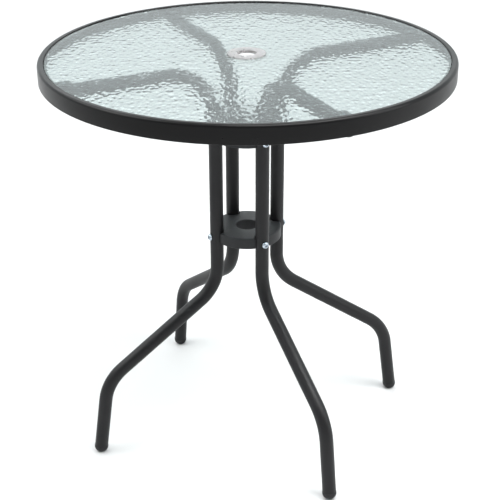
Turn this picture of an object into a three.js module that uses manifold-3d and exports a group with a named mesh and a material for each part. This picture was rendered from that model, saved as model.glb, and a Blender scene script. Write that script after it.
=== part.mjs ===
// Round garden table with a rippled glass top and a hole for an umbrella pole.
// A steel rim carries the glass. Four one-piece bent tubes hang under it: each runs in along an arm,
// bends down into a column, bends out again into a slanted leg and ends in a splayed foot.
// Two moulded hubs, one above the other, tie the four columns together round the pole's path.
// Millimetres, +Z up, +X to the right and -Y to the front. The origin is on the floor, under the centre.
import * as THREE from 'three';
import { mergeVertices } from 'three/addons/utils/BufferGeometryUtils.js';
import Module from 'manifold-3d';

const wasm = await Module();
wasm.setup();

// Overall
const tableHeight = 720;
const topDiameter = 700;
const seatGap = 0.3; // left between two pieces that rest on each other
const cutOverrun = 5; // how far a cut runs past the face that it opens

// Rim: one folded strip, with an outer skirt, a rounded hollow lip at its top and a hem at its foot
const rimDepth = 31;
const rimLipWidth = 11;
const rimSheet = 1.5;
const rimHemWidth = 6;
const rimInnerBend = 1; // inside radius of the bend where the lip turns down by the glass

// Flat ring that stands inside the skirt, under the lip, and carries the glass
const supportWidth = 5; // inwards from the inner face of the lip
const supportThickness = 2;

// Glass and what it lies on
const glassThickness = 5;
const glassSunk = 2; // top face below the crown of the lip
const glassEdgeGap = 0.5;
const glassEdgeChamfer = 0.4;
const glassHoleDiameter = 50;
const glassSeatThickness = 1;
const glassSeatWidth = 3.6;

// Ring in the glass that guides the umbrella pole
const ringFlangeDiameter = 66;
const ringFlangeThickness = 2;
const ringBoreDiameter = 32;
const ringSleeveClearance = 0.4;
const ringSleeveLength = 3.6; // from the flange down into the glass's hole
const ringWall = 2; // of the sleeve and of the collar round the bore

// Hubs
const lowerHubRise = 68; // its top above the start of the lower bends
const upperHubDrop = 18; // its top below the end of the arms' bends
const hubRadius = 61;
const hubThickness = 20;
const hubEdgeRadius = 2.5;
const hubBoreDiameter = 41;
const hubTopWall = 4;
const hubSkirtWall = 3;
const hubSleeveWall = 3.5;
const hubNotchWall = 3;
const hubRibWidth = 13;
const hubBossReach = 16; // depth of a screw's hole into its boss

// Tubes
const tubeDiameter = 24;
const tubeWall = 1.2;
const columnCircleRadius = 60;
const armBendRadius = 87;
const lowerBendTop = 334; // where a column starts to bend outwards
const lowerBendRadius = 78;
const lowerBendAngle = 55.6; // degrees
const legSlantLength = 187.5;
const footBendRadius = 83;
const footBendAngle = 47.4; // degrees

// Headings are in degrees, counted anticlockwise from +X seen from above.
const columnHeading = 26;
const quarterTurn = 90;
// A leg's lower half stands turned about its own column by this much from the plane of its arm.
const legs = [
  { name: 'back_right', quarter: 0, turn: -10.5 },
  { name: 'back_left', quarter: 1, turn: 3.5 },
  { name: 'front_left', quarter: 2, turn: -1.5 },
  { name: 'front_right', quarter: 3, turn: 3 },
];

// Foot caps: a stem in the end of the tube, a collar and a domed sole
const capCollarOverhang = 0.5; // past the tube's outside
const capCollarHeight = 2;
const capStemLength = 22;
const capDomeHeight = 11.5;
const capFlatDepth = 0.8; // how far the floor cuts into the dome

// Plugs in the outer ends of the arms
const plugFlangeThickness = 2.5;
const plugFlangeInset = 0.4;
const plugStemLength = 12;
const stemClearance = 0.3; // round a plug's or a foot cap's stem
const armEndClearance = 1.2; // from an arm's plug to the rim

// Tabs on the support ring that the arms are bolted to
const tabLength = 24;
const tabWidth = 20;
const tabThickness = 3;
const tabCornerRadius = 5;

// Screws and bolts
const screwHeadDiameter = 12;
const screwHeadHeight = 4;
const screwShankDiameter = 6;
const screwHoleClearance = 0.3; // all round the shank
const screwRecessDiameter = 5;
const screwRecessDepth = 2.4;
const screwTipGap = 1; // left at the bottom of a blind hole

// How finely round shapes are cut into flats
const rimSides = 64;
const lipSides = 3;
const innerBendSides = 1;
const tubeOuterSides = 14;
const tubeInnerSides = 8;
const armBendSteps = 7;
const lowerBendSteps = 5;
const footBendSteps = 4;
const hubSides = 40;
const edgeSides = 2;
const notchSides = 20;
const ringSides = 24;
const capSides = 14;
const domeSides = 3;
const screwSides = 8;
const tabSides = 4;

// Places that follow from the sizes above
const topRadius = topDiameter / 2;
const tubeRadius = tubeDiameter / 2;
const tubeBoreRadius = tubeRadius - tubeWall;
const lipInnerRadius = topRadius - rimLipWidth;
const supportInnerRadius = lipInnerRadius - supportWidth;
const glassRadius = lipInnerRadius - glassEdgeGap;
const glassTop = tableHeight - glassSunk;
const glassBottom = glassTop - glassThickness;
const supportTop = glassBottom - seatGap - glassSeatThickness - seatGap;
const supportBottom = supportTop - supportThickness;
const tabBottom = supportTop - tabThickness;
const armAxisHeight = tabBottom - seatGap - tubeRadius;
const lowerHubTop = lowerBendTop + lowerHubRise;
const upperHubTop = armAxisHeight - armBendRadius - upperHubDrop;
const armEndRadius = topRadius - rimHemWidth - armEndClearance - plugFlangeThickness - seatGap;
// A tab's straight outer end stops just inside the support ring's flats, corners included.
const tabReach = supportInnerRadius * Math.cos(Math.PI / rimSides) - seatGap;
const tabOuterRadius = Math.sqrt(tabReach ** 2 - (tabWidth / 2) ** 2);
const tabInnerRadius = tabOuterRadius - tabLength;
const armBoltRadius = tabOuterRadius - tabLength / 2;
const shankRadius = screwShankDiameter / 2;
const shankHoleRadius = shankRadius + screwHoleClearance;
const capRadius = tubeRadius + capCollarOverhang;
const stemRadius = tubeBoreRadius * Math.cos(Math.PI / tubeInnerSides) - stemClearance;

const radians = (degrees) => THREE.MathUtils.degToRad(degrees);

// Materials
function finish(name, color, roughness, metalness) {
  const material = new THREE.MeshStandardMaterial({ color, roughness, metalness });
  material.name = name;
  return material;
}
const powderCoat = finish('powder_coat', 0x2e2f31, 0.45, 0.3);
const hubPlastic = finish('hub_plastic', 0x3b3d40, 0.6, 0);
const capPlastic = finish('cap_plastic', 0x232324, 0.65, 0);
const zinc = finish('zinc', 0xb9c0c6, 0.35, 0.9);
const seatPlastic = finish('seat_plastic', 0x5a5d5d, 0.6, 0);
const ringPlastic = finish('ring_plastic', 0xcbc6c6, 0.35, 0);
const glass = finish('glass', 0xc7d9d4, 0.1, 0);
glass.transparent = true;
glass.opacity = 0.45;

// Solids: a closed geometry becomes a solid for cutting, and a solid becomes a geometry again.
function solid(geometry) {
  const bare = geometry.clone();
  bare.deleteAttribute('normal');
  bare.deleteAttribute('uv');
  const merged = mergeVertices(bare);
  const mesh = new wasm.Mesh({
    numProp: 3,
    vertProperties: new Float32Array(merged.attributes.position.array),
    triVerts: new Uint32Array(merged.index.array),
  });
  return new wasm.Manifold(mesh);
}
function surface(manifold) {
  const mesh = manifold.getMesh();
  const geometry = new THREE.BufferGeometry();
  geometry.setAttribute('position', new THREE.BufferAttribute(new Float32Array(mesh.vertProperties), 3));
  geometry.setIndex(new THREE.BufferAttribute(new Uint32Array(mesh.triVerts), 1));
  return geometry;
}

// A profile of [radius, height] points turned about +Z. The points go up the outside and down the inside.
function turned(points, sides) {
  const profile = points.map(([r, z]) => new THREE.Vector2(r, z));
  return new THREE.LatheGeometry(profile, sides).rotateX(radians(quarterTurn));
}
// The same for a ring, whose profile closes on itself.
const turnedRing = (points, sides) => turned([...points, points[0]], sides);

// Points of an arc about [r, z], from one angle to another in degrees, ends included.
function arcPoints(r, z, radius, from, to, steps) {
  const at = (i) => radians(from + ((to - from) * i) / steps);
  return Array.from({ length: steps + 1 }, (_, i) => [r + radius * Math.cos(at(i)), z + radius * Math.sin(at(i))]);
}

// A round bar along +Z, its flats outside the radius where it has to clear what passes through it.
function bar(radius, low, high, sides) {
  const clear = radius / Math.cos(Math.PI / sides);
  return turned([[0, low], [clear, low], [clear, high], [0, high]], sides);
}

// From a piece drawn with +X along its heading to its place on the table.
const placed = (geometry, heading) => geometry.rotateZ(radians(heading));

// A bar drawn along +Z laid along +X.
const laid = (geometry) => geometry.rotateY(radians(quarterTurn));

// The rim

// The lip from the skirt over its crown to the glass, at a depth under the strip's outer face
function lipPoints(depth) {
  const round = rimLipWidth / 2;
  const bend = rimInnerBend + rimSheet;
  return [
    ...arcPoints(topRadius - round, tableHeight - round, round - depth, 0, 90, lipSides),
    ...arcPoints(lipInnerRadius + bend, tableHeight - bend, bend - depth, 90, 180, innerBendSides),
  ];
}

// Up the outside of the strip, over the lip and down to the support ring, then back along its inside
function rimGeometry() {
  const foot = tableHeight - rimDepth;
  const lipFoot = supportTop + seatGap;
  const skirtInner = topRadius - rimSheet;
  const hemInner = topRadius - rimHemWidth;
  return turnedRing([
    [hemInner, foot],
    [topRadius - rimSheet / 2, foot],
    [topRadius, foot + rimSheet / 2],
    ...lipPoints(0),
    [lipInnerRadius, lipFoot],
    [lipInnerRadius + rimSheet, lipFoot],
    ...lipPoints(rimSheet).reverse(),
    [skirtInner, foot + rimSheet],
    [hemInner, foot + rimSheet],
  ], rimSides);
}

function supportRingGeometry() {
  const outer = topRadius - rimSheet - seatGap;
  return turnedRing([
    [supportInnerRadius, supportBottom],
    [outer, supportBottom],
    [outer, supportTop],
    [supportInnerRadius, supportTop],
  ], rimSides);
}

function rimTabGeometry() {
  const half = tabWidth / 2;
  const inner = tabInnerRadius + tabCornerRadius;
  const outline = new THREE.Shape();
  outline.moveTo(tabOuterRadius, -half);
  outline.lineTo(tabOuterRadius, half);
  outline.lineTo(inner, half);
  outline.absarc(inner, half - tabCornerRadius, tabCornerRadius, Math.PI / 2, Math.PI, false);
  outline.absarc(inner, tabCornerRadius - half, tabCornerRadius, Math.PI, 1.5 * Math.PI, false);
  const hole = new THREE.Path();
  hole.absarc(armBoltRadius, 0, shankHoleRadius / Math.cos(Math.PI / (2 * tabSides)), 0, 2 * Math.PI, true);
  outline.holes.push(hole);
  const plate = new THREE.ExtrudeGeometry(outline, {
    depth: tabThickness, bevelEnabled: false, curveSegments: tabSides,
  });
  return plate.translate(0, 0, tabBottom);
}

// The glass, its seat and the pole's ring

function glassGeometry() {
  const hole = glassHoleDiameter / 2;
  const bevel = glassEdgeChamfer;
  return turnedRing([
    [hole + bevel, glassBottom],
    [glassRadius - bevel, glassBottom],
    [glassRadius, glassBottom + bevel],
    [glassRadius, glassTop - bevel],
    [glassRadius - bevel, glassTop],
    [hole + bevel, glassTop],
    [hole, glassTop - bevel],
    [hole, glassBottom + bevel],
  ], rimSides);
}

function glassSeatGeometry() {
  const inner = supportInnerRadius + (supportWidth - glassSeatWidth) / 2;
  const outer = inner + glassSeatWidth;
  const low = supportTop + seatGap;
  const high = low + glassSeatThickness;
  return turnedRing([[inner, low], [outer, low], [outer, high], [inner, high]], rimSides);
}

function umbrellaRingGeometry() {
  const bore = ringBoreDiameter / 2;
  const sleeve = glassHoleDiameter / 2 - ringSleeveClearance;
  const flange = ringFlangeDiameter / 2;
  const seat = glassTop + seatGap;
  const low = seat - ringSleeveLength;
  const high = seat + ringFlangeThickness;
  const edge = ringFlangeThickness / 2;
  return turnedRing([
    [bore, low],
    [bore + ringWall, low],
    [bore + ringWall, seat],
    [sleeve - ringWall, seat],
    [sleeve - ringWall, low],
    [sleeve - edge, low],
    [sleeve, low + edge],
    [sleeve, seat],
    [flange, seat],
    [flange, seat + edge],
    [flange - edge, high],
    [bore + edge, high],
    [bore, high - edge],
  ], ringSides);
}

// The tubes

// A path that is stepped at chosen stations only, so straight runs take no needless steps.
class StationPath extends THREE.Curve {
  constructor(stations) {
    super();
    this.stations = stations;
  }
  at(u) {
    return this.stations[Math.round(u * (this.stations.length - 1))];
  }
  getPointAt(u, target = new THREE.Vector3()) {
    return target.copy(this.at(u).point);
  }
  getTangentAt(u, target = new THREE.Vector3()) {
    return target.copy(this.at(u).tangent);
  }
}

// A station at reach outwards and height up, in the vertical plane of a heading through the column.
// The tangent points along the tube, tilted by the given angle from straight down towards outwards.
function station(reach, height, tilt, heading) {
  const out = new THREE.Vector3(Math.cos(radians(heading)), Math.sin(radians(heading)), 0);
  const column = new THREE.Vector3(columnCircleRadius, 0, 0);
  const point = column.addScaledVector(out, reach).setZ(height);
  const tangent = out.multiplyScalar(Math.sin(radians(tilt))).setZ(-Math.cos(radians(tilt)));
  return { point, tangent };
}

// The arm: in from the rim, then a quarter bend down into the column. Along it the tilt goes from
// -90 degrees, which is level and inwards, to 0, which is straight down.
function armStations() {
  const stations = [station(armEndRadius - columnCircleRadius, armAxisHeight, -quarterTurn, 0)];
  for (let i = 0; i <= armBendSteps; i += 1) {
    const tilt = -quarterTurn + (quarterTurn * i) / armBendSteps;
    const reach = armBendRadius * (1 - Math.cos(radians(tilt)));
    const drop = armBendRadius * (1 + Math.sin(radians(tilt)));
    stations.push(station(reach, armAxisHeight - drop, tilt, 0));
  }
  return stations;
}

// The bend of a leg's lower half and the splay that is left at its foot
const footTilt = lowerBendAngle - footBendAngle;
const soleReach = capCollarHeight + capDomeHeight - capFlatDepth;

// Places along the lower half: where the slant starts and ends, and where the foot's bend ends
function lowerHalf() {
  const sine = Math.sin(radians(lowerBendAngle));
  const cosine = Math.cos(radians(lowerBendAngle));
  const slantTop = { reach: lowerBendRadius * (1 - cosine), height: lowerBendTop - lowerBendRadius * sine };
  const slantFoot = {
    reach: slantTop.reach + legSlantLength * sine,
    height: slantTop.height - legSlantLength * cosine,
  };
  const centre = {
    reach: slantFoot.reach - footBendRadius * cosine,
    height: slantFoot.height - footBendRadius * sine,
  };
  const bendFoot = {
    reach: centre.reach + footBendRadius * Math.cos(radians(footTilt)),
    height: centre.height + footBendRadius * Math.sin(radians(footTilt)),
  };
  // The foot runs on until its cap meets the floor: the tube ends a sole's thickness above it.
  const run = bendFoot.height / Math.cos(radians(footTilt)) - soleReach - seatGap;
  const end = {
    reach: bendFoot.reach + run * Math.sin(radians(footTilt)),
    height: bendFoot.height - run * Math.cos(radians(footTilt)),
  };
  return { centre, end };
}
const lower = lowerHalf();

function legStations(turn) {
  const stations = [];
  for (let i = 0; i <= lowerBendSteps; i += 1) {
    const tilt = (lowerBendAngle * i) / lowerBendSteps;
    const reach = lowerBendRadius * (1 - Math.cos(radians(tilt)));
    stations.push(station(reach, lowerBendTop - lowerBendRadius * Math.sin(radians(tilt)), tilt, turn));
  }
  for (let i = 0; i <= footBendSteps; i += 1) {
    const tilt = lowerBendAngle - (footBendAngle * i) / footBendSteps;
    const reach = lower.centre.reach + footBendRadius * Math.cos(radians(tilt));
    const height = lower.centre.height + footBendRadius * Math.sin(radians(tilt));
    stations.push(station(reach, height, tilt, turn));
  }
  stations.push(station(lower.end.reach, lower.end.height, footTilt, turn));
  return stations;
}

function polygon(radius, sides, type) {
  const outline = new type();
  const corners = Array.from({ length: sides }, (_, i) => {
    const angle = (2 * Math.PI * (i + 0.5)) / sides;
    return new THREE.Vector2(radius * Math.cos(angle), radius * Math.sin(angle));
  });
  return outline.setFromPoints(corners);
}

function tubeGeometry(stations) {
  const section = polygon(tubeRadius, tubeOuterSides, THREE.Shape);
  section.holes.push(polygon(tubeBoreRadius, tubeInnerSides, THREE.Path));
  return new THREE.ExtrudeGeometry(section, {
    steps: stations.length - 1, bevelEnabled: false, extrudePath: new StationPath(stations),
  });
}

// Holes through the column for a hub's screw, and up through the arm for its bolt
function hubScrewHole(height) {
  const reach = tubeRadius + cutOverrun;
  return laid(bar(shankHoleRadius, -reach, reach, screwSides)).translate(columnCircleRadius, 0, height);
}
function armBoltHole() {
  const reach = tubeRadius + cutOverrun;
  return bar(shankHoleRadius, -reach, reach, screwSides).translate(armBoltRadius, 0, armAxisHeight);
}

const screwHeight = (hubTop) => hubTop - hubThickness / 2;

function legTubeGeometry(turn) {
  const tube = solid(tubeGeometry([...armStations(), ...legStations(turn)]));
  const holes = [hubScrewHole(screwHeight(lowerHubTop)), hubScrewHole(screwHeight(upperHubTop)), armBoltHole()];
  return surface(holes.reduce((left, hole) => left.subtract(solid(hole)), tube));
}

// Ends of the tubes

function armPlugGeometry() {
  const flange = tubeRadius - plugFlangeInset;
  const seat = armEndRadius + seatGap;
  const edge = plugFlangeThickness / 2;
  const plug = turned([
    [0, seat - plugStemLength],
    [stemRadius - edge, seat - plugStemLength],
    [stemRadius, seat - plugStemLength + edge],
    [stemRadius, seat],
    [flange, seat],
    [flange, seat + edge],
    [flange - edge, seat + plugFlangeThickness],
    [0, seat + plugFlangeThickness],
  ], tubeOuterSides);
  return laid(plug).translate(0, 0, armAxisHeight);
}

// The cap is drawn upright with the tube's end at its origin, then tilted to the foot and cut by the floor.
function footCapGeometry(turn) {
  const seat = -seatGap;
  const collar = seat - capCollarHeight;
  const dome = Array.from({ length: domeSides }, (_, i) => {
    const angle = radians(-quarterTurn * (1 - i / domeSides));
    return [capRadius * Math.cos(angle), collar + capDomeHeight * Math.sin(angle)];
  });
  dome[0][0] = 0;
  const taper = capCollarHeight / 2;
  const cap = turned([
    ...dome,
    [capRadius, collar],
    [capRadius, seat],
    [stemRadius, seat],
    [stemRadius, capStemLength - taper],
    [stemRadius - taper, capStemLength],
    [0, capStemLength],
  ], capSides);
  cap.rotateY(radians(-footTilt)).translate(lower.end.reach, 0, lower.end.height);
  cap.rotateZ(radians(turn)).translate(columnCircleRadius, 0, 0);
  const span = 2 * topDiameter;
  const ground = new THREE.BoxGeometry(span, span, capDomeHeight);
  ground.translate(0, 0, -capDomeHeight / 2);
  return surface(solid(cap).subtract(solid(ground)));
}

// The hubs: a moulded drum, hollow from below, with a sleeve round the bore, a wall round each notch
// and a rib from the sleeve to each notch that takes a screw

function hubBody() {
  const rounding = arcPoints(hubRadius - hubEdgeRadius, -hubEdgeRadius, hubEdgeRadius, 0, quarterTurn, edgeSides);
  const bore = hubBoreDiameter / 2;
  const edge = hubEdgeRadius / 2;
  return solid(turnedRing([
    [bore, -hubThickness],
    [hubRadius, -hubThickness],
    ...rounding,
    [bore + edge, 0],
    [bore, -edge],
  ], hubSides));
}

function hubPocket() {
  const inner = hubBoreDiameter / 2 + hubSleeveWall;
  const outer = hubRadius - hubSkirtWall;
  const low = -hubThickness - cutOverrun;
  return solid(turnedRing([[inner, low], [outer, low], [outer, -hubTopWall], [inner, -hubTopWall]], hubSides));
}

function atColumn(geometry, quarter) {
  return solid(placed(geometry, columnHeading + quarterTurn * quarter));
}

function hubRib() {
  const low = -hubThickness - 2 * cutOverrun;
  const rib = new THREE.BoxGeometry(columnCircleRadius, hubRibWidth, -low);
  return rib.translate(columnCircleRadius / 2, 0, low / 2);
}

function hubNotch(extra) {
  const notch = bar(tubeRadius + seatGap + extra, -hubThickness - 2 * cutOverrun, cutOverrun, notchSides);
  return notch.translate(columnCircleRadius, 0, 0);
}

function hubScrewPocket() {
  const start = columnCircleRadius - tubeRadius;
  const hole = laid(bar(shankHoleRadius, start - hubBossReach, start + cutOverrun, screwSides));
  return hole.translate(0, 0, screwHeight(0));
}

function hubGeometry(hubTop) {
  const quarters = legs.map(({ quarter }) => quarter);
  let pocket = hubPocket();
  for (const quarter of quarters) {
    pocket = pocket.subtract(atColumn(hubNotch(hubNotchWall), quarter));
    pocket = pocket.subtract(atColumn(hubRib(), quarter));
  }
  let hub = hubBody().subtract(pocket);
  for (const quarter of quarters) {
    hub = hub.subtract(atColumn(hubNotch(0), quarter));
    hub = hub.subtract(atColumn(hubScrewPocket(), quarter));
  }
  return surface(hub).translate(0, 0, hubTop);
}

// A pan-headed screw along +Z, with its head's seat at zero, the recess in the head and the shank below
function screwGeometry(shankLength) {
  const head = screwHeadDiameter / 2;
  const recess = screwRecessDiameter / 2;
  const crown = screwHeadHeight;
  const shoulder = crown / 2;
  const tip = shankRadius / 3;
  return turned([
    [0, -shankLength],
    [shankRadius - tip, -shankLength],
    [shankRadius, tip - shankLength],
    [shankRadius, 0],
    [head, 0],
    [head, shoulder / 2],
    [(head + recess) / 2, crown - shoulder / 4],
    [recess, crown],
    [recess, crown - screwRecessDepth],
    [0, crown - screwRecessDepth],
  ], screwSides);
}

function hubScrewGeometry(hubTop) {
  const seat = columnCircleRadius + tubeRadius + seatGap;
  const shankLength = seatGap + 2 * tubeRadius + hubBossReach - screwTipGap;
  return laid(screwGeometry(shankLength)).translate(seat, 0, screwHeight(hubTop));
}

function armBoltGeometry() {
  const seat = armAxisHeight - tubeRadius - seatGap;
  const shankLength = supportTop - seatGap - seat;
  return screwGeometry(shankLength).rotateX(Math.PI).translate(armBoltRadius, 0, seat);
}

// The table

const table = new THREE.Group();

function add(name, geometry, material) {
  const mesh = new THREE.Mesh(geometry, material);
  mesh.name = name;
  table.add(mesh);
}

add('rim', rimGeometry(), powderCoat);
add('support_ring', supportRingGeometry(), powderCoat);
add('glass_seat', glassSeatGeometry(), seatPlastic);
add('glass_top', glassGeometry(), glass);
add('umbrella_ring', umbrellaRingGeometry(), ringPlastic);
add('upper_hub', hubGeometry(upperHubTop), hubPlastic);
add('lower_hub', hubGeometry(lowerHubTop), hubPlastic);

for (const { name, quarter, turn } of legs) {
  const heading = columnHeading + quarterTurn * quarter;
  add(`leg_tube_${name}`, placed(legTubeGeometry(turn), heading), powderCoat);
  add(`foot_cap_${name}`, placed(footCapGeometry(turn), heading), capPlastic);
  add(`arm_plug_${name}`, placed(armPlugGeometry(), heading), capPlastic);
  add(`rim_tab_${name}`, placed(rimTabGeometry(), heading), powderCoat);
  add(`arm_bolt_${name}`, placed(armBoltGeometry(), heading), zinc);
  add(`upper_hub_screw_${name}`, placed(hubScrewGeometry(upperHubTop), heading), zinc);
  add(`lower_hub_screw_${name}`, placed(hubScrewGeometry(lowerHubTop), heading), zinc);
}

export default table;
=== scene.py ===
import math

import bmesh
import bpy
import numpy as np
from bpy.props import FloatProperty, FloatVectorProperty, PointerProperty
from mathutils import Matrix, Vector


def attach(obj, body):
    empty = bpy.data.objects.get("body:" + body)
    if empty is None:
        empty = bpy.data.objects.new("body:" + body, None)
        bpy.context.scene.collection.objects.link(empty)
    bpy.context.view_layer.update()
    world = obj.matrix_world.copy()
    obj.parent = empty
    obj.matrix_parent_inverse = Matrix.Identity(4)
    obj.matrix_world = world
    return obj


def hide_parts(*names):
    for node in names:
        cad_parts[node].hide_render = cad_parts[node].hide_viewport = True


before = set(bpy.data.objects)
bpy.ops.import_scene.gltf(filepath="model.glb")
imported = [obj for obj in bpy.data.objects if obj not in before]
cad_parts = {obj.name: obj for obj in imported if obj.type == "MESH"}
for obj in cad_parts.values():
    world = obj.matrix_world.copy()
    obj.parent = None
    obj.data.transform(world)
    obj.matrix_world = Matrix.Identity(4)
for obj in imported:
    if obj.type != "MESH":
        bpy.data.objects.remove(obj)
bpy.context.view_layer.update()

bl_info = {
    "name": "Umbrella Table",
    "version": (1, 0, 0),
    "blender": (4, 5, 0),
    "location": "3D View > Sidebar > Umbrella Table",
    "description": "Builds a round bistro table with a rippled glass top around its fixed frame",
    "category": "Add Mesh",
}

MM = 0.001
SEAT_GAP = 0.3 * MM  # left between two pieces that rest on each other
QUARTER = math.pi / 2
TURN = 2 * math.pi

# The four legs in order, a quarter turn apart, starting from the first column's heading
LEGS = ("back_right", "back_left", "front_left", "front_right")

# Meshes
WELD = 0.002 * MM  # points nearer than this are one point
SHARP_ANGLE = math.radians(38)  # an edge that turns by more than this is drawn sharp
GLASS_SIDES = 800
RIM_SIDES = 360
RING_SIDES = 128
CAP_SIDES = 64
ROUND_SIDES = 48  # tubes, plugs and screws
ARM_POINTS, LOWER_POINTS, FOOT_POINTS = 33, 25, 21  # along a tube's three bends
NOTCH_POINTS, DRUM_POINTS = 25, 49  # along a hub's notch and between two notches
CAP_DOME_POINTS, HUB_EDGE_POINTS, HEAD_DOME_POINTS = 24, 8, 10  # from the side to the top
SKIRT_ROW = 12 * MM  # how far above its foot the rim's skirt has a row of points
SUPPORT_EDGE = 0.4 * MM
STRIP_EDGE = 0.35 * MM

# The dimples of the glass
DIMPLE_RINGS = 116  # rings of points on the dimpled face
FLAT_RINGS = (0.6, 0.3)  # rings of points on the flat face, as shares of the outer radius
DIMPLE_SEED = 11
DIMPLE_CELLS = 160  # the random moves come again after so many cells
DIMPLE_MOVE = 0.3  # the most that a cell's centre moves, in cells
DIMPLE_SWAY = 0.12  # how far the rows sway, in cells
SWAY_ACROSS, SWAY_ALONG = 1.7, 1.3  # radians of sway for each cell
RIDGE_SHARPNESS = 12.0
RIDGE_HEIGHT = 0.36  # the height that counts as 1, in squared cells
DIMPLE_FADE = 2 * MM  # width over which the dimples fade out beside the ground edges

# Small forms of the moulded pieces and the screws
RING_DISH = 0.35 * MM  # how far the ring's face dips
RING_DISH_REACH = 4 * MM  # from the dip's middle to either side
COLLAR_EDGE = 0.5 * MM
CAP_TAPER, CAP_TAPER_LENGTH = 2 * MM, 3 * MM
PLUG_TAPER, PLUG_TAPER_LENGTH = 1 * MM, 2 * MM
HUB_FOOT_EDGE = 0.6 * MM
RIB_EDGE = 0.5 * MM
HEAD_EDGE = 0.3 * MM
HEAD_DOME = 0.78  # the dome's share of a screw head's height
HEAD_REACH = 62  # degrees of the dome that are left round the recess
HEAD_FULLNESS = 0.9  # 1 for an elliptical dome, less for a squarer one
MOUTH_WIDTH, MOUTH_DEPTH = 1.12, 0.25 * MM  # the recess's flared mouth, its width as a share of the key's
RECESS_POINT = 0.4 * MM  # how much deeper the recess is in its middle
FIRST_TWIST, LEG_TWIST, UPPER_TWIST = 0.7, 1.9, 0.8  # how the screws happen to stand, in radians

# The studio
SENSOR, LENS = 36.0, 84.49  # in millimetres
SHIFT = (0.0636, -0.0195)
CAMERA_PLACE = (0.0, -1.9095, 1.2959)
CAMERA_TURNS = (25.85, -1.571, -0.827)  # downwards, to the right and about the view, in degrees
FLOOR_HALF = 60.0
SKY_TINT = (0.92, 0.985, 1.0, 1)
SKY_AXIS = (-0.12, 0.95, -0.30)  # the surroundings brighten in this direction
LOOKS_DOWN = 0.9  # a light whose back points up by more than this needs no heading
WHITE, WARM = (1, 1, 1), (1.0, 0.93, 0.86)
# Each light: name, place, target, size, power in watts and colour
LIGHTS = (
    ("overhead", (0.9, -0.8, 3.0), (0.9, -0.8, 0.0), (2.4, 1.6), 100, WHITE),
    ("window", (-2.3, -0.1, 2.9), (-0.1, 0, 0.3), (2.4, 2.2), 76, WHITE),
    ("left", (-2.6, -0.9, 1.4), (0, 0, 0.4), (0.9, 1.6), 2.5, WARM),
    ("right", (2.4, -0.7, 2.2), (0.2, 0, 0.5), (1.5, 3.4), 54, WHITE),
    ("front", (-0.2, -3.0, 1.1), (0, 0, 0.4), (2.4, 1.8), 6, WHITE),
    ("backdrop", (-1.6, 5.0, 4.2), (-1.6, 5.0, 0), (8.0, 3.0), 250, WHITE),
)


# What the frame says

def node_points(node):
    """The points of a node as rows of x, y and z, in metres."""
    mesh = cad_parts[node].data
    points = np.empty(len(mesh.vertices) * 3)
    mesh.vertices.foreach_get("co", points)
    return points.reshape(-1, 3)


def span(node, direction):
    """The least and greatest distance of a node's points along a direction."""
    along = node_points(node) @ np.array(direction)
    return along.min(), along.max()


def height_range(node):
    """The least and greatest height of a node."""
    return span(node, (0, 0, 1))


def outer_radius(node):
    """The radius of a round node, read along +X."""
    return span(node, (1, 0, 0))[1]


def inner_radius(node):
    """The least distance of a node's points from the table's axis."""
    points = node_points(node)
    return np.hypot(points[:, 0], points[:, 1]).min()


# Sizes and colours that a user would change

def length(name, description, default_mm):
    return FloatProperty(
        name=name, description=description, default=default_mm * MM, unit="LENGTH", precision=5)


def angle(name, description, degrees):
    return FloatProperty(
        name=name, description=description, default=math.radians(degrees), subtype="ANGLE")


def colour(name, description, rgb):
    return FloatVectorProperty(
        name=name, description=description, default=rgb, subtype="COLOR", min=0, max=1)


class RimSizes(bpy.types.PropertyGroup):
    """The folded rim and the grain of its coat."""
    lip_width: length("Lip width", "Width of the rounded lip seen from above", 11)
    sheet: length("Sheet", "Thickness of the folded strip", 1.5)
    inner_bend: length("Inner bend", "Inside radius of the bend where the lip turns down by the glass", 1)
    hem_width: length("Hem width", "How far the hem turns in at the foot of the skirt", 6)
    texture: length("Texture pitch", "Size of the fine grain of the powder coat", 0.9)


class GlassSizes(bpy.types.PropertyGroup):
    """The glass, its ripples and the ring in its hole."""
    chamfer: length("Edge chamfer", "Ground edge of the glass", 0.4)
    ripple_pitch: length("Ripple pitch", "Mean distance between two dimples, across", 10)
    ripple_length: length("Ripple length", "Mean distance between two dimples, front to back", 14)
    ripple_height: length("Ripple height", "Height of the ridges between the dimples", 0.12)
    ring_clearance: length("Ring clearance", "Room round the ring's sleeve in the hole", 0.4)
    ring_flange: length("Ring flange", "Thickness of the ring's flange", 2)
    ring_wall: length("Ring wall", "Wall of the ring's sleeve and of the collar round its bore", 2)


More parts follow.
